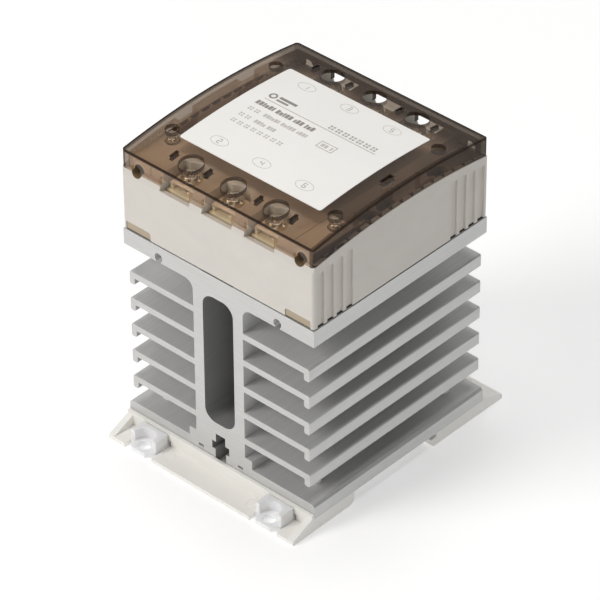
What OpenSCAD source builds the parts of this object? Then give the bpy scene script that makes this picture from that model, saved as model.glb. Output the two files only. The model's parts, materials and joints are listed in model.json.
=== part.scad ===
// Three-phase solid state relay on an extruded heat sink, with a clip-on base for a 35 mm rail.
// Millimetres, +Z up. The origin is the centre of the footprint, on the underside of the base.
// -Y is the load side (front), +Y the line side (rear), +X the side with the indicator.

/* [Heat sink] */
// Width of the extrusion across its fins
sink_w = 80; // [78:0.5:82]
// Length of the extrusion
sink_d = 80; // [78:0.5:82]
// Overall height of the extrusion
sink_h = 73.1; // [72:0.1:74]
// Thickness of the top plate that carries the relay
plate_t = 6; // [5:0.25:7]
// Thickness of the bottom plate
floor_t = 5.25; // [4.5:0.25:6]
// Fins on each side
fin_count = 5; // [3:1:5]
// Height from one fin to the next
fin_pitch = 10.3; // [10:0.1:10.6]
// Thickness of a fin
fin_t = 2.3; // [2:0.1:2.6]
// Width over the fin tips
fin_span = 76; // [72:0.5:77]
// Height of the turned-down edge at a fin tip
lip_h = 4.8; // [3.5:0.1:5.5]
// Thickness of the turned-down edge
lip_t = 2.2; // [1.6:0.1:2.6]
// Width over the two upright webs
web_w = 21; // [20:0.5:23]
// Width of the hollow between the webs
hollow_w = 12.8; // [12:0.2:13.4]

/* [Feet] */
// Length over the flanges of both feet
base_l = 100; // [98:0.5:104]
// Height of the blocks under the heat sink
block_h = 4.6; // [4.4:0.1:5.2]
// Thickness of the flanges
flange_t = 1.5; // [1.3:0.1:1.8]
// Front edge of the rail slot
rail_y0 = -21.5; // [-22:0.1:-21]
// Rear edge of the rail slot
rail_y1 = 15; // [14.5:0.1:15.5]
// Distance between the two sliders
slider_gap = 54.2; // [52:0.2:56]
// Distance from the front to the rear fixing holes
fixing_l = 93.6; // [92:0.2:94]
// Diameter of the fixing holes, M4 clearance
fixing_d = 4.4; // [4.3:0.1:4.6]

/* [Housing] */
// Side of the square housing
case_w = 80; // [79:0.5:81]
// Wall thickness of the housing
wall_t = 2; // [1.8:0.1:2.2]
// Thickness of the sealing strip under the housing
gasket_t = 0.6; // [0.5:0.1:0.8]
// Height of the housing at its corners, above the sealing strip
case_h = 22.8; // [22:0.1:23.5]
// Grooves in each grip area of the side walls
groove_count = 4; // [2:1:4]
// Depth of a grip groove
groove_depth = 0.8; // [0.4:0.1:1]

/* [Cover] */
// Width of the cover across X
cover_w = 79.5; // [79:0.1:80]
// Rise of the arched top above its front and rear edges
arch_rise = 3; // [2.5:0.1:3.5]
// Height of the skirt
skirt_h = 6.4; // [6.2:0.1:6.6]
// Thickness of the arched top
cover_t = 1.3; // [1.2:0.1:1.6]
// Thickness of the skirt
skirt_t = 1.6; // [1.4:0.1:1.8]
// Diameter of the screwdriver holes over the power terminals
driver_d = 7.9; // [7.6:0.1:8.2]
// Diameter of the four small corner holes
corner_hole_d = 4.4; // [4.4:0.1:4.8]

/* [Terminals] */
// Distance between power terminals
pitch = 17.6; // [17.4:0.1:17.8]
// Distance of each row of power screws from the middle
row_y = 32; // [31.8:0.1:32.2]
// Width of a wire opening
opening_w = 12.4; // [12:0.1:12.6]

/* [Hidden] */
$fn = 48;

// Heights of the stack, from the floor up
sink_z0 = block_h;
floor_top = sink_z0 + floor_t;
sink_z1 = sink_z0 + sink_h;
plate_z = sink_z1 - plate_t;
case_z0 = sink_z1 + gasket_t;
case_z1 = case_z0 + case_h;
cover_z1 = case_z1 + skirt_h;

// The arched top is a cylinder along X through the front and rear edges and the crown
arch_r = (pow(case_w / 2, 2) + pow(arch_rise, 2)) / (2 * arch_rise);
arch_z = cover_z1 + arch_rise - arch_r;
function arch_drop(y) = arch_r - sqrt(pow(arch_r, 2) - pow(y, 2));
function cover_top(y) = cover_z1 + arch_rise - arch_drop(y);
function case_top(y) = cover_top(y) - skirt_h;

// Base
slider_x = slider_gap / 2;
fixing_y = fixing_l / 2;
notch_w = 11.6;
base_wall_top = 6.5;
base_wall_y = 41.3;
sink_gap = 0.1;
gusset_w = 2.3;
channel_w = 10.8;
channel_wide_w = 12.6;
channel_step = 1.2;
channel_top = 3.4;
peg_x = 31.6;
peg_y = 30.6;
bolt_y = 31;

// Terminals
terminal_x = [-pitch, 0, pitch];
ledge_z = 99;
bar_t = 1.2;
bar_z = ledge_z - bar_t;
clamp_w = 10.6;
clamp_l = 7.4;
clamp_leg_h = 2.2;
clamp_t = 1.1;
clamp_z = ledge_z + 0.05;
head_z = clamp_z + clamp_leg_h + clamp_t;
block_z = 90;
block_top = 105;
block_back = 25.6;
divider_t = pitch - opening_w;
block_half = 1.5 * pitch + divider_t / 2;
guide_r = 5.2;
shank_hole_r = 2.5;
control_x = 33.8;
control_y = 23.5;
control_z = 101.4;
control_head_z = control_z + 3.5;
control_top = control_z + 3.4;
case_screw_x = 33.8;
case_screw_y = [-8, 23.5];
case_floor = case_z0 + 2;
case_inner = case_w / 2 - wall_t;
screw_seat_z = 95;
deck_z = 100;
deck_x = block_half;
tongue_x = 36.8;
tongue_y = 14;
tongue = [1.4, 8];
tongue_z = deck_z + 0.3;
tab_depth = 1.4;

// Circuit
board_z = 91.2;
board_t = 1.6;
board_top = board_z + board_t;
module_l = 38;
module_w = 15;
module_z = sink_z1 + 0.4;
module_h = 7.5;
module_screw_y = module_l / 2 - 3;
pin_x = [-4.8, -1.6, 1.6, 4.8];
pin_y = 9;
led_x = 33.9;
led_y = -0.4;

// A box from one corner to the opposite one
module span(low, high) translate(low) cube(high - low);

// A flat rectangle with round corners, centred
module round_rect(w, l, r)
{
    square([w - 2 * r, l], center = true);
    square([w, l - 2 * r], center = true);
    for (x = [-1, 1], y = [-1, 1])
        translate([x * (w / 2 - r), y * (l / 2 - r)]) circle(r);
}

// Everything below an arched surface that lies drop under the cover's top
module under_arch(drop)
    translate([0, 0, arch_z]) rotate([0, 90, 0])
        cylinder(r = arch_r - drop, h = 2 * case_w, center = true, $fn = 360);

// Children at all four combinations of +-x and +-y
module corners(x, y) for (i = [-1, 1], j = [-1, 1]) translate([i * x, j * y, 0]) children();

// Children once as they are and once mirrored to the other side
module both_x() for (i = [0, 1]) mirror([i, 0, 0]) children();
module both_y() for (i = [0, 1]) mirror([0, i, 0]) children();

// Pan head standing on z = 0, with a cross and slot recess
module pan_head(r, h, slot_w)
    difference()
    {
        rotate_extrude() polygon([[0, 0], [r, 0], [r, 0.55 * h], [0.82 * r, h], [0, h]]);
        translate([0, 0, 0.45 * h]) span([-r - 1, -slot_w / 2, 0], [r + 1, slot_w / 2, h]);
        translate([0, 0, 0.45 * h])
            span([-slot_w / 2, -0.6 * r, 0], [slot_w / 2, 0.6 * r, h]);
    }

// ---- Heat sink ----

// One fin to the right of the webs, its upper face at height top
module fin_outline(top)
{
    tip = fin_span / 2;
    edge_r = 0.6;
    translate([web_w / 2 - 1, top - fin_t]) square([tip - web_w / 2 + 1 - lip_t / 2, fin_t]);
    translate([tip - lip_t / 2, top - lip_h / 2]) round_rect(lip_t, lip_h, edge_r);
    translate([tip - lip_t, top - fin_t]) square([lip_t / 2, fin_t]);
}

// Bolt channel that opens through the foot: shank slot, nut slot and room for the bolt's tip
module bolt_channel()
{
    translate([-2.25, sink_z0 - 1]) square([4.5, 7]);
    translate([-3.65, floor_top]) square([7.3, 3]);
    translate([-2, floor_top + 2]) square([4, 4.3]);
}

module sink_outline()
{
    foot_w = 27;
    foot_h = 8.6;
    fillet_r = 3.5;
    channel_r = 1.6;
    channel_x = 25;
    channel_z = sink_z1 - 4.3;
    hollow_z0 = 20.6;
    hollow_z1 = sink_z1 - 8;
    edge_chamfer = 0.8;
    difference()
    {
        union()
        {
            translate([-sink_w / 2, sink_z0]) square([sink_w, floor_t]);
            translate([-foot_w / 2, sink_z0]) square([foot_w, foot_h]);
            translate([-web_w / 2, sink_z0]) square([web_w, sink_h]);
            translate([-sink_w / 2, plate_z]) square([sink_w, plate_t]);
            for (side = [0, 1]) mirror([side, 0])
            {
                for (i = [1:fin_count]) fin_outline(floor_top + 0.85 + i * fin_pitch);
                difference()
                {
                    translate([web_w / 2 - 1, plate_z - fillet_r]) square(fillet_r + 1);
                    translate([web_w / 2 + fillet_r, plate_z - fillet_r]) circle(fillet_r);
                }
            }
        }
        translate([0, (hollow_z0 + hollow_z1) / 2])
            round_rect(hollow_w, hollow_z1 - hollow_z0, 4.5);
        for (side = [-1, 1])
        {
            translate([side * channel_x, channel_z]) circle(channel_r);
            translate([side * channel_x - 1, plate_z - 1]) square([2, channel_z - plate_z + 1]);
            translate([side * 8.5 - 1.1, 7.6]) square([2.2, 1]);
            translate([side * sink_w / 2, floor_top]) rotate(45)
                square(edge_chamfer * sqrt(2), center = true);
        }
        bolt_channel();
    }
}

module heat_sink() color([0.84, 0.84, 0.84])
{
    peg_hole_r = 1.8;
    case_hole_r = 1.6;
    module_hole_r = 1.55;
    difference()
    {
        rotate([90, 0, 0]) linear_extrude(sink_d, center = true) sink_outline();
        corners(peg_x, peg_y) translate([0, 0, sink_z0 - 1]) cylinder(r = peg_hole_r, h = floor_t + 2);
        for (x = [-1, 1], y = case_screw_y)
            translate([x * case_screw_x, y, plate_z - 1]) cylinder(r = case_hole_r, h = plate_t + 2);
        for (x = terminal_x, y = [-1, 1])
            translate([x, y * module_screw_y, sink_z1 - 5]) cylinder(r = module_hole_r, h = 6);
    }
}

// ---- Base ----

// End wedge of a flange, from the heat sink's corner down to the flange tip
module gusset()
    translate([case_w / 2 - gusset_w, 0, 0]) rotate([90, 0, 90]) linear_extrude(gusset_w)
        polygon([[-base_l / 2, 0], [-base_l / 2, flange_t], [-base_wall_y, 5.2],
                 [-sink_d / 2 - sink_gap, 5.2], [-sink_d / 2 - sink_gap, 0]]);

// Channel for one slider, seen as a stepped slot with its narrow mouth downwards
module slider_channel()
{
    far = rail_y0 + 1;
    span([slider_x - channel_w / 2, -base_l / 2 - 1, -1], [slider_x + channel_w / 2, far, channel_top]);
    span([slider_x - channel_wide_w / 2, -base_wall_y, channel_step],
         [slider_x + channel_wide_w / 2, far, channel_top]);
    span([slider_x - notch_w / 2, -base_l / 2 - 1, -1],
         [slider_x + notch_w / 2, -base_wall_y, flange_t + 1]);
}

// What both feet share: block under the heat sink, flange, upright wall, end wedges and pegs.
// It lies on the -Y side, and block_y is the inner edge of its block.
module foot_body(block_y)
{
    span([-case_w / 2, -sink_d / 2, 0], [case_w / 2, block_y, block_h]);
    span([-case_w / 2, -base_l / 2, 0], [case_w / 2, -sink_d / 2 + 1, flange_t]);
    span([-case_w / 2, -base_wall_y, 0], [case_w / 2, -sink_d / 2 - sink_gap, base_wall_top]);
    span([-case_w / 2, -base_wall_y, 0], [case_w / 2, -sink_d / 2 + 1, block_h]);
    both_x() gusset();
    for (x = [-1, 1]) translate([x * peg_x, -peg_y, 0])
    {
        translate([0, 0, block_h - 1]) cylinder(r = 1.7, h = floor_t + 2);
        translate([0, 0, floor_top]) cylinder(r = 2, h = 1.3);
    }
}

// Peg bores and the recessed bolt hole of a foot on the -Y side
module foot_holes()
{
    for (x = [-1, 1]) translate([x * peg_x, -peg_y, -1]) cylinder(r = 0.8, h = 20);
    translate([0, -bolt_y, -1])
    {
        cylinder(r = 2.25, h = 10);
        cylinder(r = 4.2, h = 3.6);
    }
}

module front_foot() color([0.87, 0.85, 0.82])
{
    pocket_h = 2.6;
    round_r = 2.5;
    difference()
    {
        foot_body(rail_y0);
        foot_holes();
        both_x() slider_channel();
        // Rounded lower edge beside the rail slot
        difference()
        {
            span([-case_w, rail_y0 - round_r, -1], [case_w, rail_y0 + 1, round_r]);
            translate([0, rail_y0 - round_r, round_r]) rotate([0, 90, 0])
                cylinder(r = round_r, h = 3 * case_w, center = true);
        }
        // Ejector marks on the flange
        for (x = [-18, 18]) translate([x, -44.6, flange_t - 0.15]) difference()
        {
            cylinder(r = 2.2, h = 1);
            translate([0, 0, -1]) cylinder(r = 1.8, h = 3);
        }
        // Pockets in the underside
        for (x = [-1, 1])
        {
            translate([x * 12.5, 0, 0]) span([-6, -38, -1], [6, -25.5, pocket_h]);
            translate([x * 37, 0, 0]) span([-1.4, -38, -1], [1.4, -25.5, pocket_h]);
        }
    }
}

module rear_foot() color([0.87, 0.85, 0.82])
{
    pocket_h = 2.6;
    rib = 1.6;
    cell = 11;
    hook_z = 3.2;
    difference()
    {
        mirror([0, 1, 0]) foot_body(-rail_y1);
        mirror([0, 1, 0]) foot_holes();
        // Undercut over the fixed edge of the rail, and the lead-in below it
        span([-case_w, rail_y1 - 1, hook_z], [case_w, rail_y1 + 2.5, block_h + 0.01]);
        translate([0, rail_y1, 0]) rotate([45, 0, 0])
            cube([3 * case_w, 1.7, 1.7], center = true);
        for (x = [-1, 1]) translate([x * slider_x, fixing_y, -1])
            cylinder(r = fixing_d / 2, h = 5);
        // Pockets in the underside
        for (x = [-1, 1], i = [0:2], y = [19, 30])
            translate([x * (10.5 + i * cell), y, 0])
                span([-cell / 2 + rib, 0, -1], [cell / 2 - rib, cell - rib, pocket_h]);
    }
}

// Rail latch, its eye at the front and its hook under the edge of the rail
module slider()
{
    low = 0.3;
    eye_t = 1.7;
    bar_w = 10.2;
    bar_top = 3.1;
    tip_y = -16.3;
    eye_y = -fixing_y;
    front = -base_l / 2;
    half = 5.4;
    cut = 2.4;
    seat_r = 3.9;
    guard_top = 6;
    difference()
    {
        union()
        {
            translate([0, 0, low]) linear_extrude(eye_t)
                polygon([[-half + cut, front], [half - cut, front], [half, front + cut],
                         [half, -base_wall_y], [-half, -base_wall_y], [-half, front + cut]]);
            // Raised block behind the eye, open to the front
            span([-half, eye_y - 0.4, low], [half, -base_wall_y - 0.3, guard_top]);
            // Bar with guide wings, ending in the hook
            span([-bar_w / 2, -base_wall_y - 0.2, low], [bar_w / 2, tip_y - 2.6, bar_top]);
            span([-6, -35.5, 1.5], [6, -24, bar_top]);
            rotate([90, 0, 90]) linear_extrude(bar_w, center = true)
                polygon([[tip_y - 3, low], [tip_y - 2, low], [tip_y, 2], [tip_y, bar_top],
                         [tip_y - 3, bar_top]]);
        }
        translate([0, eye_y, -1]) cylinder(r = fixing_d / 2, h = 8);
        translate([0, eye_y, low + eye_t]) cylinder(r = seat_r, h = 8);
        // Lightening slot that leaves two spring legs
        span([-2, -37, -1], [2, -25, bar_top + 1]);
    }
}

module slider_left() color([0.93, 0.93, 0.94]) translate([-slider_x, 0, 0]) slider();
module slider_right() color([0.93, 0.93, 0.94]) translate([slider_x, 0, 0]) slider();

module base_screws() color([0.75, 0.75, 0.76])
    for (y = [-1, 1]) translate([0, y * bolt_y, 2.6]) rotate([180, 0, 0])
    {
        pan_head(3.9, 2.3, 0.9);
        translate([0, 0, -11.5]) cylinder(r = 2, h = 11.6);
    }

module base_nuts() color([0.75, 0.75, 0.76])
    for (y = [-1, 1]) translate([0, y * bolt_y, floor_top])
        difference()
        {
            span([-3.5, -3.5, 0], [3.5, 3.5, 2.7]);
            translate([0, 0, -1]) cylinder(r = 2.05, h = 5);
        }

// ---- Relay body ----

module gasket() color([0.25, 0.2, 0.16])
    translate([0, 0, sink_z1]) linear_extrude(gasket_t)
        difference()
        {
            round_rect(case_w - 1.2, case_w - 1.2, 1);
            square(case_w - 8, center = true);
        }

module thermal_pads() color([0.85, 0.85, 0.86])
    for (x = terminal_x)
        difference()
        {
            translate([x, 0, sink_z1]) linear_extrude(module_z - sink_z1)
                square([module_w, module_l], center = true);
            for (y = [-1, 1]) translate([x, y * module_screw_y, sink_z1 - 1])
                cylinder(r = 1.9, h = 3);
        }

module thyristor_modules() color([0.12, 0.12, 0.13])
    for (x = terminal_x) translate([x, 0, module_z])
        difference()
        {
            union()
            {
                linear_extrude(3) round_rect(module_w, module_l, 1);
                linear_extrude(module_h) round_rect(module_w, module_l - 12, 1);
            }
            for (y = [-1, 1]) translate([0, y * module_screw_y, -1])
                cylinder(r = 1.7, h = 6);
        }

module module_pins() color([0.8, 0.78, 0.72])
    for (x = terminal_x, i = pin_x) translate([x + i, pin_y, module_z + module_h])
        cylinder(r = 0.45, h = board_top + 0.8 - module_z - module_h);

module module_screws() color([0.75, 0.75, 0.76])
    for (x = terminal_x, y = [-1, 1])
        translate([x, y * module_screw_y, module_z + 3])
        {
            pan_head(2.8, 1.9, 0.7);
            translate([0, 0, -7.4]) cylinder(r = 1.5, h = 7.5);
        }

// Wire openings in the wall of one row on the -Y side, with a low step inside the outer rim
module wall_openings()
    for (x = terminal_x) translate([x, 0, 0])
    {
        span([-opening_w / 2, -case_w, ledge_z + 0.2], [opening_w / 2, -case_inner + 1, 110]);
        span([-opening_w / 2, -case_w / 2 + 0.7, ledge_z - 0.2], [opening_w / 2, -case_inner + 1, 110]);
    }

// Block of wire pockets for the three power terminals on the -Y side
module terminal_block() color([0.83, 0.81, 0.78])
{
    back_t = 2.8;
    leg_t = 2;
    nut_w = 7.2;
    nut_depth = 3.4;
    bar_slot_w = 8.4;
    slit_l = 0.7;
    difference()
    {
        union()
        {
            span([-block_half, -case_inner, block_z], [block_half, -block_back, bar_z]);
            for (i = [-1.5:1:1.5]) translate([i * pitch, 0, 0])
                span([-divider_t / 2, -case_inner, bar_z - 1], [divider_t / 2, -block_back, block_top]);
            span([-block_half, -block_back - back_t, bar_z - 1], [block_half, -block_back, block_top]);
            both_x() span([block_half - leg_t, -case_inner, case_floor],
                          [block_half, -block_back, block_z + 1]);
        }
        for (x = terminal_x) translate([x, 0, 0])
        {
            // Screw guide, hole for the screw's end, nut pocket and slot for the bar
            translate([0, -row_y, bar_z]) cylinder(r = guide_r, h = 10);
            translate([0, -row_y, block_z - 1]) cylinder(r = shank_hole_r, h = 10);
            span([-nut_w / 2, -row_y - nut_w / 2, bar_z - nut_depth],
                 [nut_w / 2, -row_y + nut_w / 2, bar_z + 1]);
            span([-bar_slot_w / 2, -block_back - back_t - 2, bar_z - 0.05],
                 [bar_slot_w / 2, -block_back + 1, ledge_z + 0.2]);
            // Slit between the wall and the end of the bar
            span([-opening_w / 2, -case_inner - 1, block_z + 2],
                 [opening_w / 2, -case_inner + slit_l, ledge_z + 1]);
        }
    }
}

module line_terminal_block() mirror([0, 1, 0]) terminal_block();
module load_terminal_block() terminal_block();

// Tower in each front corner that carries one control terminal
module control_tower()
    span([deck_x, -case_inner - 0.2, 94], [case_inner + 0.1, -19.4, control_top]);

module control_cuts()
{
    wire_r = 1.9;
    funnel_r = 2.1;
    pocket = [6.8, 7.2];
    translate([control_x, -control_y, control_z]) rotate([90, 0, 0]) cylinder(r = wire_r, h = 18);
    translate([control_x, -control_y, block_z]) cylinder(r = shank_hole_r, h = 30);
    translate([control_x, -control_y, 0])
        span([-pocket[0] / 2, -pocket[1] / 2, block_z], [pocket[0] / 2, pocket[1] / 2, control_top - 1]);
    // Funnel in front of the wire hole
    translate([control_x, -case_w / 2, control_z]) rotate([-90, 0, 0])
        cylinder(r1 = funnel_r, r2 = wire_r, h = wall_t);
}

// One run of grip grooves on the +X wall, rear half
module grip_grooves()
{
    groove_w = 2.95;
    groove_pitch = 4.27;
    first_y = 22.5;
    top_gap = 3.4;
    for (i = [0:groove_count - 1])
    {
        y = first_y + i * groove_pitch;
        span([case_w / 2 - groove_depth, y, case_z0 - 1],
             [case_w / 2 + 1, y + groove_w, case_top(y + groove_w / 2) - top_gap]);
    }
}

module housing() color([0.83, 0.81, 0.78])
{
    boss_r = 3.8;
    rib_t = 2;
    slot = tongue + [0.8, 0.8];
    pad = [2.2, 5.6];
    difference()
    {
        union()
        {
            difference()
            {
                intersection()
                {
                    translate([0, 0, case_z0]) linear_extrude(40) round_rect(case_w, case_w, 1.2);
                    under_arch(skirt_h);
                }
                span([-case_inner, -case_inner, case_floor], [case_inner, case_inner, 120]);
                translate([0, 0, case_z0 - 1]) linear_extrude(5)
                    round_rect(3 * pitch + 1, module_l + 3, 2);
            }
            both_x() control_tower();
            // Side decks just under the cover, each with a rib along its inner edge
            both_x() span([deck_x, -20, deck_z - 1.6], [case_inner + 0.1, case_inner + 0.1, deck_z]);
            both_x() span([deck_x, -20, deck_z - 4], [deck_x + 1.2, case_inner + 0.1, deck_z]);
            // Raised pads around the slots for the cover's tongues
            both_x() both_y()
                span([tongue_x - pad[0], tongue_y - pad[1], deck_z - 1],
                     [case_inner + 0.1, tongue_y + pad[1], deck_z + 1.6]);
            // Screw bosses, each tied to the side wall
            for (x = [-1, 1], y = case_screw_y)
            {
                translate([x * case_screw_x, y, case_z0]) cylinder(r = boss_r, h = screw_seat_z - case_z0);
                span([x * (case_screw_x + 2.5) - 2, y - rib_t / 2, case_z0],
                     [x * (case_screw_x + 2.5) + 2, y + rib_t / 2, screw_seat_z]);
            }
            // Ledges that carry the circuit board
            corners(34.5, 16) span([-3.6, -2, board_z - 3], [3.6, 2, board_z]);
        }
        both_y() wall_openings();
        both_x() control_cuts();
        both_x() both_y() grip_grooves();
        // Sloped upper edge of the front and rear walls
        both_y() translate([0, -case_w / 2, ledge_z - 0.2]) rotate([-15, 0, 0])
            span([-case_w, -2, 0], [case_w, 0, 4]);
        // Recesses for the corner tabs
        both_x() both_y() translate([0, -case_w / 2 - 1, 0]) tab_prism(0, tab_depth + 1, case_z0 - 1);
        for (x = [-1, 1], y = case_screw_y) translate([x * case_screw_x, y, 0])
        {
            translate([0, 0, case_z0 - 1]) cylinder(r = 1.8, h = 40);
            translate([0, 0, screw_seat_z]) cylinder(r = 3.6, h = 20);
        }
        // Slots for the cover's tongues
        corners(tongue_x, tongue_y)
            span([-slot[0] / 2, -slot[1] / 2, deck_z], [slot[0] / 2, slot[1] / 2, deck_z + 2]);
        // Hole for the light guide
        translate([led_x, led_y, deck_z - 3]) cylinder(r = 2.6, h = 5);
    }
}

// Prism along Y for the small tab at the foot of the front wall near the right corner
module tab_prism(inset, depth, bottom)
{
    x0 = 28.2 + inset;
    x1 = 38.6 - inset;
    top = case_z0 + 2.8 - inset;
    corner = [0.8, 0.6];
    rotate([90, 0, 0]) mirror([0, 0, 1]) linear_extrude(depth)
        polygon([[x0, bottom], [x0, top - corner[1]], [x0 + corner[0], top], [x1, top], [x1, bottom]]);
}

// Lid over the circuit, flush with the terminal blocks, on four posts
module inner_lid() color([0.83, 0.81, 0.78])
{
    lid_t = 0.9;
    wall = 1.2;
    post_r = 1.6;
    half_w = block_half - 0.1;
    half_l = block_back - 0.2;
    span([-half_w, -half_l, block_top - lid_t], [half_w, half_l, block_top]);
    both_x() span([half_w - wall, -half_l, deck_z], [half_w, half_l, block_top]);
    corners(27, 21.5) translate([0, 0, board_top])
        cylinder(r = post_r, h = block_top - lid_t / 2 - board_top);
}

module corner_tabs() color([0.68, 0.62, 0.53])
{
    back = 0.25;
    both_x() both_y() translate([0, -case_w / 2 + back, 0]) tab_prism(0.1, tab_depth - back, case_z0);
}

module housing_screws() color([0.75, 0.75, 0.76])
    for (x = [-1, 1], y = case_screw_y) translate([x * case_screw_x, y, screw_seat_z])
    {
        pan_head(3.2, 2.2, 0.9);
        translate([0, 0, -22.5]) cylinder(r = 1.55, h = 22.6);
    }

// ---- Circuit ----

module circuit_board() color([0.2, 0.42, 0.28])
    difference()
    {
        translate([0, 0, board_z]) linear_extrude(board_t) square([75, 50.8], center = true);
        // Room for the screw bosses and their ribs
        for (x = [-1, 1], y = case_screw_y)
        {
            translate([x * case_screw_x, y, board_z - 1]) cylinder(r = 4.2, h = 5);
            span([x * 39 - 4, y - 2, board_z - 1], [x * 39 + 4, y + 2, board_top + 1]);
        }
        both_y() for (x = terminal_x)
            span([x - 3.2, -24.8, board_z - 1], [x + 3.2, -23.2, board_top + 1]);
        for (x = terminal_x, i = pin_x) translate([x + i, pin_y, board_z - 1]) cylinder(r = 0.5, h = 5);
        both_x() span([control_x - 1.4, -22.6, board_z - 1], [control_x + 1.4, -21.4, board_top + 1]);
    }

module optocouplers() color([0.92, 0.92, 0.9])
    for (x = terminal_x) translate([x, -1, board_top])
    {
        translate([0, 0, 0.6]) linear_extrude(3.6) square([6.4, 8.8], center = true);
        for (i = [-1, 1], j = [-1:1])
            translate([i * 3.6, j * 2.54, 0]) span([-0.45, -0.5, 0], [0.45, 0.5, 2.4]);
    }

module snubber_capacitors() color([0.86, 0.68, 0.2])
    for (x = terminal_x) translate([x, 17, board_top]) linear_extrude(9.5)
        round_rect(13, 6, 0.8);

module snubber_resistors() color([0.55, 0.66, 0.6])
    for (x = terminal_x) translate([x, -10, board_top])
    {
        translate([0, 0, 2.6]) rotate([0, 90, 0]) cylinder(r = 2.1, h = 8.5, center = true);
        for (i = [-1, 1])
        {
            translate([i * 4.9, 0, 2.6]) rotate([0, 90, 0]) cylinder(r = 0.35, h = 1.8, center = true);
            translate([i * 5.5, 0, 0]) cylinder(r = 0.35, h = 2.95);
        }
    }

module varistors() color([0.16, 0.3, 0.6])
    for (x = terminal_x) translate([x, -17.5, board_top])
    {
        translate([0, 0, 6.6]) rotate([90, 0, 0]) cylinder(r = 4.6, h = 3.4, center = true);
        for (i = [-1, 1]) translate([i * 2.5, 0, 0]) cylinder(r = 0.4, h = 4);
    }

module driver_chip() color([0.1, 0.1, 0.11])
    translate([27, 2, board_top])
    {
        translate([0, 0, 0.4]) linear_extrude(1.6) square([4, 5], center = true);
        for (i = [-1, 1], j = [-1.5:1:1.5])
            translate([i * 2.5, j * 1.27, 0]) span([-0.6, -0.2, 0], [0.6, 0.2, 0.7]);
    }

module indicator_led() color([0.85, 0.2, 0.15])
    translate([led_x, led_y, board_top])
    {
        cylinder(r = 1.9, h = 0.8);
        cylinder(r = 1.5, h = 3);
        translate([0, 0, 3]) rotate_extrude() intersection()
        {
            circle(1.5);
            square(2);
        }
    }

module light_guide() color([0.9, 0.9, 0.88])
    translate([led_x, led_y, 0])
    {
        translate([0, 0, deck_z - 2.6]) cylinder(r = 2.5, h = 2.6);
        translate([0, 0, deck_z]) cylinder(r = 3.2, h = 0.8);
        span([-0.6, -2, deck_z], [0.6, 2, 107.9]);
    }

// ---- Terminals ----

// Three bars of one row on the -Y side, each bent down into the circuit board
module busbar_row()
    for (x = terminal_x) translate([x, 0, 0])
    {
        difference()
        {
            union()
            {
                span([-5.6, -37.2, bar_z], [5.6, -28.5, ledge_z]);
                span([-4, -28.6, bar_z], [4, -23.4, ledge_z]);
            }
            translate([0, -row_y, bar_z - 1]) cylinder(r = 2.25, h = 4);
        }
        span([-3, -24.6, board_z - 0.8], [3, -23.4, bar_z + 0.1]);
    }

module line_busbars() color([0.85, 0.75, 0.55]) mirror([0, 1, 0]) busbar_row();
module load_busbars() color([0.85, 0.75, 0.55]) busbar_row();

module terminal_nuts() color([0.75, 0.75, 0.76])
    both_y() for (x = terminal_x) translate([x, -row_y, bar_z - 3.2])
        difference()
        {
            span([-3.5, -3.5, 0], [3.5, 3.5, 3.2]);
            translate([0, 0, -1]) cylinder(r = 2.05, h = 6);
        }

// Saddle that presses the wire on the bar, centred on its screw
module clamp_saddle() color([0.85, 0.72, 0.45])
    translate([0, -0.3, clamp_z]) difference()
    {
        span([-clamp_w / 2, -clamp_l / 2, 0], [clamp_w / 2, clamp_l / 2, clamp_leg_h + clamp_t]);
        span([-clamp_w / 2 + 1, -clamp_l, -1], [clamp_w / 2 - 1, clamp_l, clamp_leg_h]);
        for (side = [-1, 1]) translate([side * clamp_w / 2, 0, clamp_leg_h + clamp_t]) rotate([0, 45, 0])
            cube([1.3, 3 * clamp_l, 1.3], center = true);
        translate([0, 0.3, -1]) cylinder(r = 2.05, h = 8);
    }

module power_screw() color([0.8, 0.78, 0.72])
{
    translate([0, 0, head_z]) pan_head(3.4, 2.2, 1);
    translate([0, 0, 91.5]) cylinder(r = 1.98, h = head_z - 91.4);
}

// Brass socket in a control tower
module control_block()
    difference()
    {
        union()
        {
            span([-3.1, -3.3, control_z - 3.4], [3.1, 3.3, control_z + 2.2]);
            span([-1.2, 1, board_z - 0.8], [1.2, 2, control_z - 2.8]);
        }
        translate([0, 0, control_z]) rotate([90, 0, 0]) cylinder(r = 1.7, h = 10);
        translate([0, 0, control_z - 1.8]) cylinder(r = 1.7, h = 3);
        translate([0, 0, control_z - 1.8]) cylinder(r = 1.53, h = 6);
    }

module control_blocks() color([0.85, 0.72, 0.45])
    for (side = [-1, 1]) translate([side * control_x, -control_y, 0]) control_block();

module control_pad() color([0.85, 0.72, 0.45])
    translate([0, 0, control_z - 1.7]) cylinder(r = 1.4, h = 0.8);

module control_screw() color([0.8, 0.78, 0.72])
{
    translate([0, 0, control_head_z]) pan_head(2, 1.6, 0.7);
    translate([0, 0, control_z - 0.9]) cylinder(r = 1.48, h = control_head_z - control_z + 1);
}

// ---- Cover ----

// Notches in the skirt over the wire openings of one row
module skirt_notches()
{
    y0 = -case_w / 2 - 1;
    y1 = -case_w / 2 + skirt_t + 1;
    notch_top = case_z1 + 3.1;
    notch_r = 2.1;
    for (x = terminal_x)
        span([x - opening_w / 2, y0, case_z1 - 2], [x + opening_w / 2, y1, notch_top]);
    both_x() translate([control_x, 0, 0])
    {
        span([-notch_r, y0, case_z1 - 2], [notch_r, y1, notch_top - notch_r]);
        translate([0, y1, notch_top - notch_r]) rotate([90, 0, 0]) cylinder(r = notch_r, h = y1 - y0);
    }
}

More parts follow.
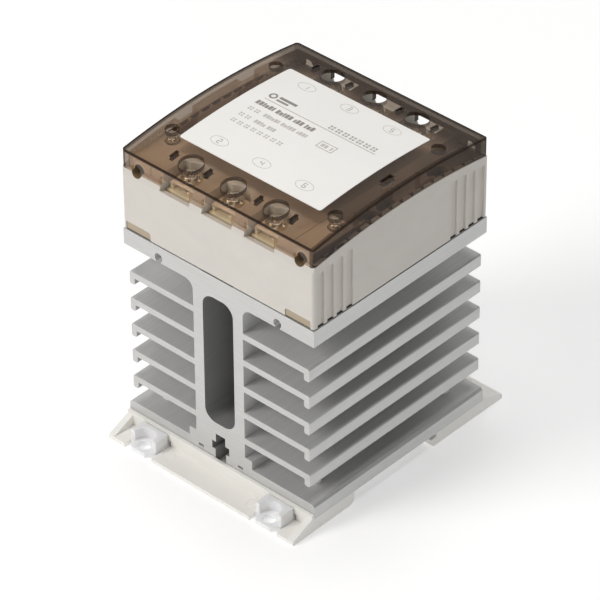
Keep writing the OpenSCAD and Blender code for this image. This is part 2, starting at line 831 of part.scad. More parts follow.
module cover() color([0.37, 0.31, 0.27, 0.6])
    difference()
    {
        union()
        {
            difference()
            {
                intersection()
                {
                    translate([0, 0, 90]) linear_extrude(40)
                        round_rect(cover_w, case_w - 0.3, 1.2);
                    under_arch(0);
                }
                intersection()
                {
                    span([-cover_w / 2 + skirt_t, -case_w / 2 + skirt_t, 80],
                         [cover_w / 2 - skirt_t, case_w / 2 - skirt_t, 120]);
                    under_arch(cover_t);
                }
                under_arch(skirt_h);
                span([-case_w, -case_w, 80], [case_w, case_w, case_z1]);
            }
            // Tongues that snap into the pads on the side decks, each tied to the skirt
            both_x() both_y() intersection()
            {
                translate([tongue_x, tongue_y, 0]) union()
                {
                    span([-tongue[0] / 2, -tongue[1] / 2, tongue_z],
                         [tongue[0] / 2, tongue[1] / 2, 112]);
                    span([-tongue[0] / 2, -tongue[1] / 2, case_top(10) + 0.6],
                         [cover_w / 2 - 1.15 - tongue_x, tongue[1] / 2, 112]);
                }
                under_arch(cover_t / 2);
            }
        }
        both_y()
        {
            skirt_notches();
            for (x = terminal_x) translate([x, -row_y, 100]) cylinder(r = driver_d / 2, h = 20);
            for (side = [-1, 1], i = [-1, 1])
                translate([side * pitch + i * 7.15, -row_y, 100])
                    span([-0.45, -1.5, 0], [0.45, 1.5, 20]);
        }
        corners(control_x, control_y) translate([0, 0, 100])
            cylinder(r = corner_hole_d / 2, h = 20);
        span([led_x - 0.75, led_y - 2.3, 100], [led_x + 0.75, led_y + 2.3, 120]);
    }

module label() color([0.93, 0.92, 0.91])
    intersection()
    {
        translate([0, 0, 100]) linear_extrude(20) round_rect(58.4, 50.2, 0.8);
        difference()
        {
            under_arch(-0.25);
            under_arch(0);
        }
    }

heat_sink();
front_foot();
rear_foot();
slider_left();
slider_right();
base_screws();
base_nuts();
gasket();
thermal_pads();
thyristor_modules();
module_pins();
module_screws();
housing();
line_terminal_block();
load_terminal_block();
inner_lid();
corner_tabs();
housing_screws();
circuit_board();
optocouplers();
snubber_capacitors();
snubber_resistors();
varistors();
driver_chip();
indicator_led();
light_guide();
line_busbars();
load_busbars();
terminal_nuts();
for (i = [0:2])
{
    line_at = [terminal_x[i], row_y, 0];
    load_at = [terminal_x[i], -row_y, 0];
    translate(line_at) mirror([0, 1, 0]) clamp_saddle();
    translate(line_at) power_screw();
    translate(load_at) clamp_saddle();
    translate(load_at) power_screw();
}
control_blocks();
for (i = [0, 1])
{
    control_at = [(2 * i - 1) * control_x, -control_y, 0];
    translate(control_at) control_pad();
    translate(control_at) control_screw();
}
cover();
label();
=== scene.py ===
import json
import math

import bmesh
import bpy
from mathutils import Matrix, Vector


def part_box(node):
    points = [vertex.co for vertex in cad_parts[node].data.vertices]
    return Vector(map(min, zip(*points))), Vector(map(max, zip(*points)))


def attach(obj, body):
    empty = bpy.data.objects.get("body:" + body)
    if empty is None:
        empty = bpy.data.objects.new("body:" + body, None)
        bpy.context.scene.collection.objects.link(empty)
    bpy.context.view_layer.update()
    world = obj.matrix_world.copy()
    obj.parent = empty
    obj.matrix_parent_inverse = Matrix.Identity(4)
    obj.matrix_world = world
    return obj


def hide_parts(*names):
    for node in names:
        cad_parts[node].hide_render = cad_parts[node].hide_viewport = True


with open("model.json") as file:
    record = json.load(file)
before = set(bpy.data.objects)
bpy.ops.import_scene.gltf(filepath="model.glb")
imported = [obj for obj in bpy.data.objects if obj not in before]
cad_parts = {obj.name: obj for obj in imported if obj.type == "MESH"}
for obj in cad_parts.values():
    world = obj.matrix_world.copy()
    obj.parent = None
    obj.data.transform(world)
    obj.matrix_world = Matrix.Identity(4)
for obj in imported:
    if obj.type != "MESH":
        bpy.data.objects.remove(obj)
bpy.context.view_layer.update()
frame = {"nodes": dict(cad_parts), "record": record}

MM = 0.001

# Places on the part that the materials follow, in metres
PITCH = 17.6 * MM
ROW_Y = 32.0 * MM
DRIVER_HOLE_R = 3.95 * MM
SLIT_X = 7.15 * MM
CONTROL_X = 33.8 * MM
CONTROL_Y = 23.5 * MM
CONTROL_Z = 101.4 * MM
ENTRY_R = 2.1 * MM
CONTROL_HOLE_R = 2.2 * MM
WINDOW_X = 33.9 * MM
WINDOW_Y = -0.4 * MM
HOLLOW_X = 6.5 * MM

# The cover's top: its height along the middle, and its fall as a share of y squared, in 1/m
CROWN_Z = 110.5 * MM
CROWN_FALL = 1.875


# ---- Node material helpers ----

class Tree:
    """Short calls for building one node material."""

    def __init__(self, name):
        self.material = bpy.data.materials.new(name)
        self.material.use_nodes = True
        self.nt = self.material.node_tree
        self.nt.nodes.clear()
        self.out = self.nt.nodes.new("ShaderNodeOutputMaterial")
        self.coords = self.nt.nodes.new("ShaderNodeTexCoord")

    def link(self, source, target):
        self.nt.links.new(source, target)

    def put(self, target, value):
        if isinstance(value, bpy.types.NodeSocket):
            self.link(value, target)
        elif isinstance(value, tuple) and len(value) == 3 and len(target.default_value) == 4:
            target.default_value = (*value, 1.0)
        else:
            target.default_value = value

    def node(self, kind, inputs=None, **settings):
        made = self.nt.nodes.new("ShaderNode" + kind)
        for key, value in settings.items():
            setattr(made, key, value)
        for key, value in (inputs or {}).items():
            self.put(made.inputs[key], value)
        return made

    def scaled(self, scale):
        """Object coordinates times scale."""
        return self.node("Mapping", {"Vector": self.coords.outputs["Object"], "Scale": scale}).outputs[0]

    def noise(self, scale, detail=3.0, rough=0.5, stretch=(1, 1, 1), distortion=0.0):
        return self.node("TexNoise", {"Vector": self.scaled(stretch), "Scale": scale, "Detail": detail,
                                      "Roughness": rough, "Distortion": distortion}).outputs["Fac"]

    def ramp(self, fac, low, high, to_low=0.0, to_high=1.0):
        return self.node("MapRange", {"Value": fac, "From Min": low, "From Max": high,
                                      "To Min": to_low, "To Max": to_high}).outputs[0]

    def maths(self, operation, a, b=0.0):
        return self.node("Math", {0: a, 1: b}, operation=operation).outputs[0]

    def mix(self, fac, a, b):
        made = self.node("Mix", {"Factor": fac}, data_type="RGBA")
        self.put(made.inputs[6], a)
        self.put(made.inputs[7], b)
        return made.outputs[2]

    def bump(self, height, distance, strength=1.0, normal=None):
        inputs = {"Height": height, "Distance": distance, "Strength": strength}
        if normal is not None:
            inputs["Normal"] = normal
        return self.node("Bump", inputs).outputs[0]

    def place(self):
        """Object coordinates x, y and z."""
        split = self.node("SeparateXYZ", {0: self.coords.outputs["Object"]})
        return split.outputs[0], split.outputs[1], split.outputs[2]

    def far(self, value, centre=None):
        """Size of value, or its distance from centre."""
        if centre is not None:
            value = self.maths("SUBTRACT", value, centre)
        return self.maths("ABSOLUTE", value)

    def radius(self, a, b):
        """Distance of the point (a, b) from (0, 0)."""
        squares = self.maths("ADD", self.maths("MULTIPLY", a, a), self.maths("MULTIPLY", b, b))
        return self.maths("SQRT", squares)

    def normal_axis(self, axis):
        """Size of the object-space normal along axis."""
        split = self.node("SeparateXYZ", {0: self.coords.outputs["Normal"]})
        return self.maths("ABSOLUTE", split.outputs[axis])

    def principled(self, **inputs):
        made = self.nt.nodes.new("ShaderNodeBsdfPrincipled")
        for key, value in inputs.items():
            self.put(made.inputs[key.replace("_", " ")], value)
        return made

    def surface(self, shader):
        self.link(shader.outputs[0], self.out.inputs["Surface"])
        return self.material


def srgb(r, g, b):
    """Linear colour from 8-bit sRGB."""
    return tuple(((c / 255 + 0.055) / 1.055) ** 2.4 if c > 10 else c / 255 / 12.92 for c in (r, g, b))


def darker(colour, by):
    return tuple(c * by for c in colour)


def entries(t):
    """1 inside the two round wire entries of the control terminals, where shade is painted, else 0."""
    x, y, z = t.place()
    across = t.maths("SUBTRACT", t.far(x), CONTROL_X)
    rise = t.maths("SUBTRACT", z, CONTROL_Z)
    inside = t.ramp(t.radius(across, rise), ENTRY_R + 0.1 * MM, ENTRY_R)
    front = t.ramp(y, -25 * MM, -27 * MM)
    return t.maths("MULTIPLY", inside, front)


def plastic(name, colour, rough=0.5, grain=5200, grain_depth=0.012, blotch=0.05, soft=0.0, paint_entry_shade=False):
    """Moulded plastic: fine spark-eroded grain, faint flow marks, and rubbed shine in patches.

    As an option, shade is painted inside the control terminals' wire entries; its tone was matched."""
    t = Tree(name)
    flow = t.noise(55, 4, 0.6, (1, 1, 2.2), 0.6)
    speck = t.noise(1900, 2)
    tone = t.mix(t.ramp(flow, 0.3, 0.7), darker(colour, 1 - blotch), colour)
    tone = t.mix(t.ramp(speck, 0.62, 0.75, 0, 0.12), tone, darker(colour, 0.8))
    # Painted shade inside the control terminals' wire entries
    if paint_entry_shade:
        tone = t.mix(entries(t), tone, (0.2, 0.14, 0.075))
    fine = t.noise(grain, 2, 0.6)
    roughness = t.ramp(t.noise(90, 5, 0.65), 0.3, 0.7, rough - 0.07, rough + 0.07)
    bump = t.bump(fine, grain_depth * MM, 0.55, t.bump(flow, 0.05 * MM, 0.25))
    return t.surface(t.principled(Base_Color=tone, Roughness=roughness, Normal=bump, IOR=1.5,
                                  Subsurface_Weight=soft, Subsurface_Radius=(0.004, 0.0035, 0.003),
                                  Subsurface_Scale=0.5))


def metal(name, colour, rough, streak, streak_scale, depth=0.004, tint=0.08, stain=None, share=1.0):
    """Metal with directional streaks, fine scratches and slightly uneven tone; share is how metallic."""
    t = Tree(name)
    lines = t.noise(streak_scale, 4, 0.65, streak)
    cloud = t.noise(120, 4, 0.6)
    tone = t.mix(t.ramp(lines, 0.25, 0.75), darker(colour, 1 - tint), colour)
    tone = t.mix(t.ramp(cloud, 0.45, 0.8, 0, 0.35), tone, stain or darker(colour, 0.8))
    roughness = t.ramp(t.maths("ADD", lines, t.maths("MULTIPLY", cloud, 0.6)), 0.5, 1.1,
                       rough - 0.07, rough + 0.1)
    return t.surface(t.principled(Base_Color=tone, Metallic=share, Roughness=roughness,
                                  Normal=t.bump(lines, depth * MM, 0.6)))


def extrusion():
    """Anodised extrusion: die lines along its length, brighter saw marks on the cut ends."""
    t = Tree("extrusion")
    cut = (0.64, 0.635, 0.625)
    die = t.noise(1500, 5, 0.7, (1, 0.012, 1))
    saw = t.noise(1300, 4, 0.7, (0.05, 1, 1), 0.15)
    end = t.ramp(t.normal_axis("Y"), 0.6, 0.8)
    lines = t.node("Mix", {"Factor": end, 2: die, 3: saw}).outputs[0]
    cloud = t.noise(70, 5, 0.6)
    # Painted shade: the skin inside the hollow between the webs is darker, a tone matched
    inside = t.ramp(t.far(t.place()[0]), HOLLOW_X + 0.1 * MM, HOLLOW_X - 0.05 * MM)
    hollow_shaded_skin = t.mix(inside, (0.69, 0.69, 0.685), (0.36, 0.36, 0.355))
    base = t.mix(end, hollow_shaded_skin, cut)
    # Darker tone for the die lines and cloud, with the same painted shade in the hollow
    dull_and_hollow_shade = t.mix(end, t.mix(inside, (0.6, 0.6, 0.595), (0.31, 0.31, 0.305)), darker(cut, 0.88))
    tone = t.mix(t.ramp(lines, 0.3, 0.7), dull_and_hollow_shade, base)
    tone = t.mix(t.ramp(cloud, 0.4, 0.75, 0, 0.25), tone, dull_and_hollow_shade)
    roughness = t.ramp(t.maths("ADD", lines, cloud), 0.6, 1.4, 0.36, 0.52)
    bump = t.bump(lines, 0.02 * MM, 0.5)
    return t.surface(t.principled(Base_Color=tone, Metallic=0.35, Roughness=roughness, Normal=bump))


def hole_rims(t, x, y):
    """1 on the walls and rims of the cover's round holes, where shade is painted, else 0."""
    masks = []
    # Power terminals: three holes PITCH apart on each side
    across = t.far(x)
    turns = t.maths("MINIMUM", t.maths("ROUND", t.maths("DIVIDE", across, PITCH)), 1.0)
    across = t.maths("SUBTRACT", across, t.maths("MULTIPLY", turns, PITCH))
    masks.append((across, ROW_Y, DRIVER_HOLE_R + 0.22 * MM))
    # Corner holes over the control screws, repeated at the back
    across = t.maths("SUBTRACT", t.far(x), CONTROL_X)
    masks.append((across, CONTROL_Y, CONTROL_HOLE_R + 0.25 * MM))
    rims = []
    for across, row, edge in masks:
        reach = t.radius(across, t.maths("SUBTRACT", t.far(y), row))
        rims.append(t.ramp(reach, edge, edge - 0.15 * MM))
    return t.maths("MAXIMUM", rims[0], rims[1])


def slit_rims(t, x, y):
    """1 on the short slits beside the outer terminals' holes and on the window, where shade is painted,
    else 0.
    """
    across = t.far(t.far(t.far(x), PITCH), SLIT_X)
    slit = t.maths("MULTIPLY", t.ramp(across, 0.75 * MM, 0.65 * MM),
                   t.ramp(t.far(t.far(y), ROW_Y), 1.8 * MM, 1.7 * MM))
    window = t.maths("MULTIPLY", t.ramp(t.far(x, WINDOW_X), 1.15 * MM, 1.0 * MM),
                     t.ramp(t.far(y, WINDOW_Y), 2.7 * MM, 2.55 * MM))
    return t.maths("MAXIMUM", slit, window)


def smoked():
    """Smoked clear cover: each surface holds half of the wall's tint, with painted shade along the
    arris, on the side and rear skirts, over the line terminals and round the holes, slits and window.
    """
    tint, haze_colour, shade_colour = (0.905, 0.82, 0.735), (0.18, 0.13, 0.095), (0.028, 0.018, 0.013)
    t = Tree("smoked_cover")
    x, y, z = t.place()
    # Painted shade: a dark line along the arris between the arched top and the skirt
    far_x = t.far(x)
    out_x = t.ramp(far_x, 38.85 * MM, 39.1 * MM)
    out_y = t.ramp(t.far(y), 39.15 * MM, 39.4 * MM)
    crown = t.maths("SUBTRACT", CROWN_Z, t.maths("MULTIPLY", t.maths("MULTIPLY", y, y), CROWN_FALL))
    upper = t.ramp(t.maths("SUBTRACT", crown, z), 0.7 * MM, 0.45 * MM)
    arris_shade = t.maths("MULTIPLY", t.maths("MAXIMUM", out_x, out_y), t.maths("MULTIPLY", upper, 0.93))
    # Painted shade: side and rear skirts darker than the front one, a tone matched to the photograph
    skirt_shade = t.maths("MAXIMUM", t.ramp(far_x, 38.1 * MM, 38.4 * MM, 0, 0.62),
                    t.ramp(y, 38.2 * MM, 38.5 * MM, 0, 0.78))
    # The strip over the line terminals has painted shade too, also matched
    skirt_shade = t.maths("MAXIMUM", skirt_shade, t.ramp(y, 25.2 * MM, 31 * MM, 0, 0.42))
    # Painted shade on the walls and rims of the holes, the slits and the window
    holes = t.maths("MAXIMUM", t.maths("MULTIPLY", hole_rims(t, x, y), 0.7),
                    t.maths("MULTIPLY", slit_rims(t, x, y), 0.9))
    # All the painted shade together: arris, holes, slits, window and skirts
    edge = t.maths("MAXIMUM", t.maths("MAXIMUM", arris_shade, holes), skirt_shade)
    cloud = t.noise(60, 4, 0.6)
    clear = t.node("BsdfTransparent", {"Color": tint})
    haze = t.node("BsdfDiffuse", {"Color": haze_colour})
    dark = t.node("BsdfDiffuse", {"Color": shade_colour})
    body = t.node("MixShader", {0: t.ramp(cloud, 0.3, 0.7, 0.085, 0.13),
                                1: clear.outputs[0], 2: haze.outputs[0]})
    # Painted shade mixes the body towards the dark diffuse
    body = t.node("MixShader", {0: edge, 1: body.outputs[0], 2: dark.outputs[0]})
    # Shine on outer faces only, stronger at grazing angles and nearly gone on the painted shade of the
    # arris and skirts
    facing = t.node("LayerWeight", {"Blend": 0.5}).outputs["Facing"]
    shine = t.maths("ADD", t.maths("MULTIPLY", t.maths("POWER", facing, 5.0), 0.45), 0.045)
    front = t.maths("SUBTRACT", 1.0, t.node("NewGeometry").outputs["Backfacing"])
    dulled = t.maths("MULTIPLY", t.maths("MAXIMUM", arris_shade, skirt_shade), 0.9)
    shine = t.maths("MULTIPLY", shine, t.maths("SUBTRACT", 1.0, dulled))
    bump = t.bump(t.noise(140, 3), 0.03 * MM, 0.35, t.bump(t.noise(2600, 2), 0.002 * MM, 0.15))
    gloss = t.node("BsdfGlossy", {"Color": (1, 1, 1), "Roughness": t.ramp(cloud, 0.3, 0.7, 0.12, 0.2),
                                  "Normal": bump})
    return t.surface(t.node("MixShader", {0: t.maths("MULTIPLY", shine, front),
                                          1: body.outputs[0], 2: gloss.outputs[0]}))


def clear_plastic():
    """Light guide: clear plastic that has gone a little milky."""
    t = Tree("clear_plastic")
    facing = t.node("LayerWeight", {"Blend": 0.5}).outputs["Facing"]
    shine = t.maths("ADD", t.maths("MULTIPLY", t.maths("POWER", facing, 5.0), 0.8), 0.04)
    clear = t.node("BsdfTransparent", {"Color": (0.86, 0.82, 0.76)})
    milk = t.node("BsdfDiffuse", {"Color": (0.4, 0.34, 0.28)})
    cloud = t.noise(200, 3)
    body = t.node("MixShader", {0: t.ramp(cloud, 0.3, 0.7, 0.3, 0.45),
                                1: clear.outputs[0], 2: milk.outputs[0]})
    gloss = t.node("BsdfGlossy", {"Color": (1, 1, 1), "Roughness": 0.15,
                                  "Normal": t.bump(cloud, 0.01 * MM, 0.4)})
    return t.surface(t.node("MixShader", {0: shine, 1: body.outputs[0], 2: gloss.outputs[0]}))


def film():
    """Label: satin printed film with a faint fibre."""
    t = Tree("label_film")
    base = srgb(250, 248, 244)
    fibre = t.noise(2600, 4, 0.7, (1, 0.5, 1))
    cloud = t.noise(45, 3)
    tone = t.mix(t.ramp(cloud, 0.3, 0.7), darker(base, 0.975), base)
    tone = t.mix(t.ramp(fibre, 0.55, 0.75, 0, 0.05), tone, darker(base, 0.8))
    return t.surface(t.principled(Base_Color=tone, Roughness=t.ramp(cloud, 0.3, 0.7, 0.38, 0.5),
                                  Normal=t.bump(fibre, 0.004 * MM, 0.4)))


def ink(name, colour):
    t = Tree(name)
    dots = t.noise(5200, 2)
    tone = t.mix(t.ramp(dots, 0.45, 0.7), colour, darker(colour, 1.5))
    return t.surface(t.principled(Base_Color=tone, Roughness=t.ramp(dots, 0.3, 0.7, 0.4, 0.55)))


def board():
    """Solder mask over copper: faint tracks under the green."""
    t = Tree("board")
    mask = (0.018, 0.11, 0.045)
    cells = t.node("TexVoronoi", {"Vector": t.scaled((1, 1, 0)), "Scale": 260.0}, distance="MANHATTAN",
                   feature="DISTANCE_TO_EDGE").outputs["Distance"]
    track = t.ramp(cells, 0.06, 0.1)
    cloud = t.noise(240, 3)
    tone = t.mix(track, (0.05, 0.2, 0.08), mask)
    tone = t.mix(t.ramp(cloud, 0.4, 0.8, 0, 0.3), tone, darker(mask, 0.6))
    return t.surface(t.principled(Base_Color=tone, Roughness=t.ramp(cloud, 0.3, 0.7, 0.25, 0.4),
                                  Normal=t.bump(track, 0.03 * MM, 0.6)))


slots = {
    "extrusion": extrusion(),
    "foot_plastic": plastic("foot_plastic", srgb(247, 245, 240), 0.48, blotch=0.03, soft=0.03),
    "nylon": plastic("nylon", srgb(244, 244, 245), 0.34, 3800, 0.006, 0.03, 0.4),
    "zinc_steel": metal("zinc_steel", (0.62, 0.63, 0.66), 0.34, (1, 1, 0.05), 1600),
    "nickel_steel": metal("nickel_steel", (0.78, 0.74, 0.66), 0.27, (1, 1, 0.06), 1800, 0.003),
    "seal": plastic("seal", (0.035, 0.022, 0.014), 0.7, 3000, 0.02),
    "thermal_pad": plastic("thermal_pad", (0.5, 0.51, 0.53), 0.65, 2500, 0.02),
    "black_epoxy": plastic("black_epoxy", (0.02, 0.02, 0.022), 0.45, 3600, 0.01, 0.2),
    "tinned": metal("tinned", (0.68, 0.67, 0.63), 0.3, (1, 1, 1), 1400),
    "housing_plastic": plastic("housing_plastic", srgb(213, 208, 201), 0.5, soft=0.02, paint_entry_shade=True),
    "tan_plastic": plastic("tan_plastic", srgb(176, 161, 138), 0.5),
    "board": board(),
    "white_epoxy": plastic("white_epoxy", (0.72, 0.72, 0.69), 0.45),
    "capacitor_case": plastic("capacitor_case", (0.62, 0.36, 0.04), 0.3, 2600, 0.006),
    "resistor_body": plastic("resistor_body", (0.22, 0.36, 0.3), 0.4, 2600, 0.008),
    "varistor_coat": plastic("varistor_coat", (0.02, 0.07, 0.26), 0.25, 900, 0.02),
    "led_red": plastic("led_red", (0.55, 0.03, 0.02), 0.15, 900, 0.002),
    "clear_plastic": clear_plastic(),
    "brass": metal("brass", (0.94, 0.82, 0.6), 0.33, (1, 0.04, 1), 1500, 0.004, 0.12,
                   (0.6, 0.46, 0.28), 0.35),
    "clamp_brass": metal("clamp_brass", (0.96, 0.86, 0.68), 0.35, (0.05, 1, 1), 1500, 0.004, 0.1,
                         (0.7, 0.56, 0.36), 0.35),
    "smoked_cover": smoked(),
    "label": film(),
}
slot_of = {part["node"]: part["material_slot"] for part in frame["record"]["subparts"]}
for name, ob in frame["nodes"].items():
    ob.data.materials.clear()
    ob.data.materials.append(slots[slot_of[name]])


# ---- Softened edges on the CAD pieces ----

def soften(name, width, angle=32, segments=2, merge=True):
    """Rounds the sharp edges of a CAD piece as modifiers, after merging its flat faces."""
    ob = frame["nodes"][name]
    weld = ob.modifiers.new("weld", "WELD")
    weld.merge_threshold = 0.002 * MM
    if merge:
        flat = ob.modifiers.new("flat", "DECIMATE")
        flat.decimate_type = "DISSOLVE"
        flat.angle_limit = math.radians(0.3)
    bevel = ob.modifiers.new("round", "BEVEL")
    bevel.width = width * MM
    bevel.segments = segments
    bevel.limit_method = "ANGLE"
    bevel.angle_limit = math.radians(angle)
    bevel.use_clamp_overlap = True
    bevel.miter_outer = "MITER_ARC"
    weigh = ob.modifiers.new("weigh", "WEIGHTED_NORMAL")
    weigh.weight = 100
    weigh.keep_sharp = False
    ob.data.polygons.foreach_set("use_smooth", [True] * len(ob.data.polygons))


# ---- Label and its print ----

COVER_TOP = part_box("cover")[1][2]
COVER_BACK = 40.0 * MM
ARCH_RISE = 3.0 * MM
ARCH_R = (COVER_BACK ** 2 + ARCH_RISE ** 2) / (2 * ARCH_RISE)
# Thickness of the film, the gap under it, and the height of the print over it
FILM = 0.2 * MM
UNDER = 0.005 * MM
INK_T = 0.03 * MM
DARK, MID, LIGHT = 0, 1, 2


def arch(y):
    """Height of the cover's arched top at y."""
    return COVER_TOP - ARCH_R + math.sqrt(ARCH_R ** 2 - y ** 2)


def mesh_piece(name, bm, materials, body, smooth=None):
    """A new piece from bm that moves with body."""
    bmesh.ops.recalc_face_normals(bm, faces=bm.faces[:])
    mesh = bpy.data.meshes.new(name)
    bm.to_mesh(mesh)
    bm.free()
    for material in materials:
        mesh.materials.append(material)
    ob = bpy.data.objects.new(name, mesh)
    bpy.context.scene.collection.objects.link(ob)
    if smooth is not None:
        mesh.polygons.foreach_set("use_smooth", [True] * len(mesh.polygons))
        mesh.set_sharp_from_angle(angle=math.radians(smooth))
    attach(ob, body)
    return ob


def slab(bm, rings, low, high, material):
    """A thin closed plate over the arch; rings lists its outline and, if it has one, its hole."""
    under = [[bm.verts.new((x, y, arch(y) + low)) for x, y in ring] for ring in rings]
    over = [[bm.verts.new((x, y, arch(y) + high)) for x, y in ring] for ring in rings]
    faces = []
    for a, b in zip(under, over):
        for i in range(len(a)):
            j = (i + 1) % len(a)
            faces.append(bm.faces.new((a[i], a[j], b[j], b[i])))
    for side in (under, over):
        if len(side) == 1:
            faces.append(bm.faces.new(side[0]))
        else:
            for i in range(len(side[0])):
                j = (i + 1) % len(side[0])
                faces.append(bm.faces.new((side[0][i], side[0][j], side[1][j], side[1][i])))
    for face in faces:
        face.material_index = material


def label_film():
    """The printed film, following the arch, with small round corners."""
    half_w, half_l, r = 29.2 * MM, 25.1 * MM, 0.8 * MM
    straight = half_l - r
    corner = [straight + r * math.sin(math.radians(a)) for a in range(0, 91, 15)]
    steps = [half_l * i / 24 for i in range(-23, 24)]
    inner = [y for y in steps if abs(y) < straight - 0.1 * MM]
    ys = sorted([-y for y in corner] + inner + corner)

    def width(y):
        over = max(0.0, abs(y) - straight)
        return half_w - r + math.sqrt(max(0.0, r ** 2 - over ** 2))

    bm = bmesh.new()
    section = ((-1, UNDER), (1, UNDER), (1, FILM), (-1, FILM))
    rows = [[bm.verts.new((side * width(y), y, arch(y) + up)) for side, up in section] for y in ys]
    for a, b in zip(rows, rows[1:]):
        for i in range(4):
            j = (i + 1) % 4
            bm.faces.new((a[i], a[j], b[j], b[i]))
    bm.faces.new(rows[0])
    bm.faces.new(rows[-1])
    film_piece = mesh_piece("label_film", bm, [slots["label"]], "cover", smooth=30)
    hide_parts("label")


# Bars of a seven-bar digit, by letter, and which of them each number shows
DIGIT_W, DIGIT_H, STROKE = 0.6, 1.0, 0.14
STROKES = {"a": (-DIGIT_W, DIGIT_W, DIGIT_H - STROKE, DIGIT_H + STROKE),
           "g": (-DIGIT_W, DIGIT_W, -STROKE, STROKE),
           "d": (-DIGIT_W, DIGIT_W, -DIGIT_H - STROKE, -DIGIT_H + STROKE),
           "f": (-DIGIT_W - STROKE, -DIGIT_W + STROKE, STROKE, DIGIT_H - STROKE),
           "b": (DIGIT_W - STROKE, DIGIT_W + STROKE, STROKE, DIGIT_H - STROKE),
           "e": (-DIGIT_W - STROKE, -DIGIT_W + STROKE, -DIGIT_H + STROKE, -STROKE),
           "c": (DIGIT_W - STROKE, DIGIT_W + STROKE, -DIGIT_H + STROKE, -STROKE)}
SEGMENTS = {1: "bc", 2: "abged", 3: "abgcd", 4: "fgbc", 5: "afgcd", 6: "afgedc"}
OVALS = {1: (-17.8, 20.4), 3: (0, 20.4), 5: (17.6, 20.4),
         2: (-17.8, -19.2), 4: (-0.2, -19.2), 6: (17.4, -19.2)}


def label_print():
    """Generic print: a rule, a plain mark, rows of greeked type and numbered ovals, in mm."""
    bm = bmesh.new()
    low, high = FILM - 0.01 * MM, FILM + INK_T
    circle = [(math.cos(math.radians(a)), math.sin(math.radians(a))) for a in range(0, 360, 15)]

    def bar(x0, x1, y0, y1, ink_number):
        corners = ((x0, y0), (x1, y0), (x1, y1), (x0, y1))
        slab(bm, [[(x * MM, y * MM) for x, y in corners]], low, high, ink_number)

    def oval_ring(x, y, outer, inner, ink_number):
        slab(bm, [[((x + w * c) * MM, (y + h * d) * MM) for c, d in circle] for w, h in (outer, inner)],
             low, high, ink_number)

    def type_row(x, y, height, words, ink_number, gap, width):
        """Words of small blocks; every third block is narrower and every fourth one shorter."""
        count = 0
        for word in words:
            for _ in range(word):
                count += 1
                w = width * (0.6 if count % 3 == 0 else 1.0)
                h = height * (0.78 if count % 4 == 0 else 1.0)
                bar(x, x + w, y - height / 2, y - height / 2 + h, ink_number)
                x += w + gap
            x += 3 * gap

    def square_row(x, y, size, pitch, count, ink_number):
        """Small grids of two by two squares."""
        cell = 0.4 * size
        for i in range(count):
            for dx in (0, size - cell):
                for dy in (0, size - cell):
                    left, bottom = x + i * pitch + dx, y - size / 2 + dy
                    bar(left, left + cell, bottom, bottom + cell, ink_number)

    # Plain mark: a ring beside two bars, over a rule
    oval_ring(-21.6, 9.2, (1.5, 1.5), (0.8, 0.8), DARK)
    bar(-19.4, -12.4, 9.3, 10.5, DARK)
    bar(-19.4, -14.6, 7.8, 8.7, DARK)
    bar(-22.9, 22.9, 6.35, 6.62, MID)
    square_row(2.6, 8.4, 2.0, 2.86, 7, MID)
    type_row(-23.4, 3.6, 2.1, (6, 5, 3, 3), DARK, 0.26, 1.16)
    square_row(-23.0, -0.5, 1.7, 2.7, 2, LIGHT)
    type_row(-16.6, -0.5, 1.7, (6, 5, 4), LIGHT, 0.25, 0.98)
    # Boxed rating
    bar(6.2, 12.6, 1.0, 1.25, MID)
    bar(6.2, 12.6, -2.2, -1.95, MID)
    bar(6.2, 6.45, -1.95, 1.0, MID)
    bar(12.35, 12.6, -1.95, 1.0, MID)
    type_row(7.3, -0.48, 1.6, (2, 1), LIGHT, 0.3, 1.1)
    square_row(-23.0, -4.7, 1.7, 2.7, 2, LIGHT)
    type_row(-16.6, -4.7, 1.7, (4, 3), LIGHT, 0.25, 1.0)
    square_row(-22.8, -8.5, 1.7, 2.75, 8, LIGHT)
    for number, (x, y) in OVALS.items():
        oval_ring(x, y, (3.4, 2.1), (3.2, 1.9), LIGHT)
        for key in SEGMENTS[number]:
            x0, x1, y0, y1 = STROKES[key]
            bar(x + x0, x + x1, y + y0, y + y1, MID)
    inks = [ink("ink_dark", (0.27, 0.24, 0.22)), ink("ink_mid", (0.4, 0.37, 0.35)),
            ink("ink_light", (0.52, 0.49, 0.47))]
    mesh_piece("label_print", bm, inks, "cover")


label_film()
label_print()

# ---- Stage and camera, at the photograph's viewing angle ----

AZIMUTH, ELEVATION, ROLL = math.radians(42.76), math.radians(36.99), math.radians(-0.41)
DISTANCE = 1.3213
TARGET = Vector((-1.37, -1.27, 47.39)) * MM
LENS, SENSOR = 251.64, 36
LIT_POINT = Vector((0, 0, 0.06))


def stage():
    """Pale floor that curves up into a wall behind the part."""
    size, rise, steps = 3.0, 1.4, 12
    front = size * 0.5
    mesh = bpy.data.meshes.new("floor")
    bm = bmesh.new()
    profile = [(-size, 0), (front, 0)]
    for i in range(1, steps + 1):
        turn = math.radians(90 * i / steps)
        profile.append((front + rise * math.sin(turn), rise * (1 - math.cos(turn))))
    profile.append((front + rise, size))
    rows = [[bm.verts.new((x, along, up)) for x in (-size, size)] for along, up in profile]
    for a, b in zip(rows, rows[1:]):
        bm.faces.new((a[0], a[1], b[1], b[0]))
    bm.to_mesh(mesh)
    bm.free()
    ob = bpy.data.objects.new("floor", mesh)
    bpy.context.scene.collection.objects.link(ob)
    ob.rotation_euler = (0, 0, AZIMUTH)
    for polygon in mesh.polygons:
        polygon.use_smooth = True
    t = Tree("floor")
    tone = t.mix(t.ramp(t.noise(3, 2), 0.3, 0.7), (0.8, 0.8, 0.8), (0.82, 0.82, 0.82))
    mesh.materials.append(t.surface(t.principled(Base_Color=tone, Roughness=0.8, Emission_Strength=0.34,
                                                 Emission_Color=(1.0, 1.0, 1.0))))


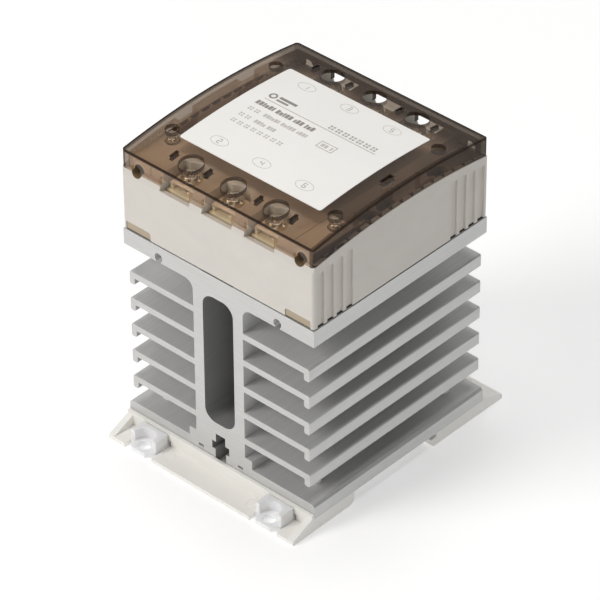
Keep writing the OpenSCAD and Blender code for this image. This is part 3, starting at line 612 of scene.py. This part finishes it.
def area_light(name, place, size, power, colour=(1, 1, 1)):
    """Round soft light at place, aimed at LIT_POINT."""
    lamp = bpy.data.lights.new(name, "AREA")
    lamp.shape = "DISK"
    lamp.size = size
    lamp.energy = power
    lamp.color = colour
    ob = bpy.data.objects.new(name, lamp)
    ob.location = place
    ob.rotation_mode = "QUATERNION"
    ob.rotation_quaternion = (LIT_POINT - Vector(place)).to_track_quat("-Z", "Y")
    bpy.context.scene.collection.objects.link(ob)


stage()
world = bpy.data.worlds.new("studio")
bpy.context.scene.world = world
world.use_nodes = True
background = world.node_tree.nodes["Background"]
background.inputs["Color"].default_value = (1, 0.995, 0.985, 1)
background.inputs["Strength"].default_value = 0.09
area_light("key", (-0.7, -1.3, 1.1), 0.9, 16.6, (1, 0.985, 0.96))
area_light("top", (-0.1, 0.2, 1.7), 1.2, 13)
area_light("fill", (1.15, -1.15, 0.7), 0.8, 3.2)
bpy.context.scene.view_settings.view_transform = "Standard"

back = Vector((math.sin(AZIMUTH) * math.cos(ELEVATION), -math.cos(AZIMUTH) * math.cos(ELEVATION),
               math.sin(ELEVATION)))
level = Vector((math.cos(AZIMUTH), math.sin(AZIMUTH), 0))
upright = back.cross(level)
right = math.cos(ROLL) * level + math.sin(ROLL) * upright
up = math.cos(ROLL) * upright - math.sin(ROLL) * level
camera = bpy.data.objects.new("camera", bpy.data.cameras.new("camera"))
camera.data.sensor_width = SENSOR
camera.data.lens = LENS
camera.data.clip_end = 20
camera.matrix_world = Matrix.Translation(TARGET + back * DISTANCE) @ Matrix(
    (right, up, back)).transposed().to_4x4()
bpy.context.scene.collection.objects.link(camera)
bpy.context.scene.camera = camera

# ---- Rounding of the CAD pieces ----

# Each has its node, radius in mm, and the smallest angle in degrees that counts as an edge
ROUNDED = (("heat_sink", 0.3, 32), ("housing", 0.3, 13), ("cover", 0.2, 32), ("front_foot", 0.25, 13),
           ("line_terminal_block", 0.15, 32), ("load_terminal_block", 0.15, 32),
           ("corner_tabs", 0.15, 32), ("gasket", 0.1, 32), ("base_nuts", 0.2, 32),
           ("terminal_nuts", 0.2, 32))
for name, width, angle in ROUNDED:
    soften(name, width, angle)
# The rear foot's pocketed underside folds over itself when its flat faces are merged
soften("rear_foot", 0.2, merge=False)
for name in ("slider_left", "slider_right"):
    soften(name, 0.45, segments=3)
for name in frame["nodes"]:
    if "_clamp_" in name or "_screw_" in name:
        soften(name, 0.12)
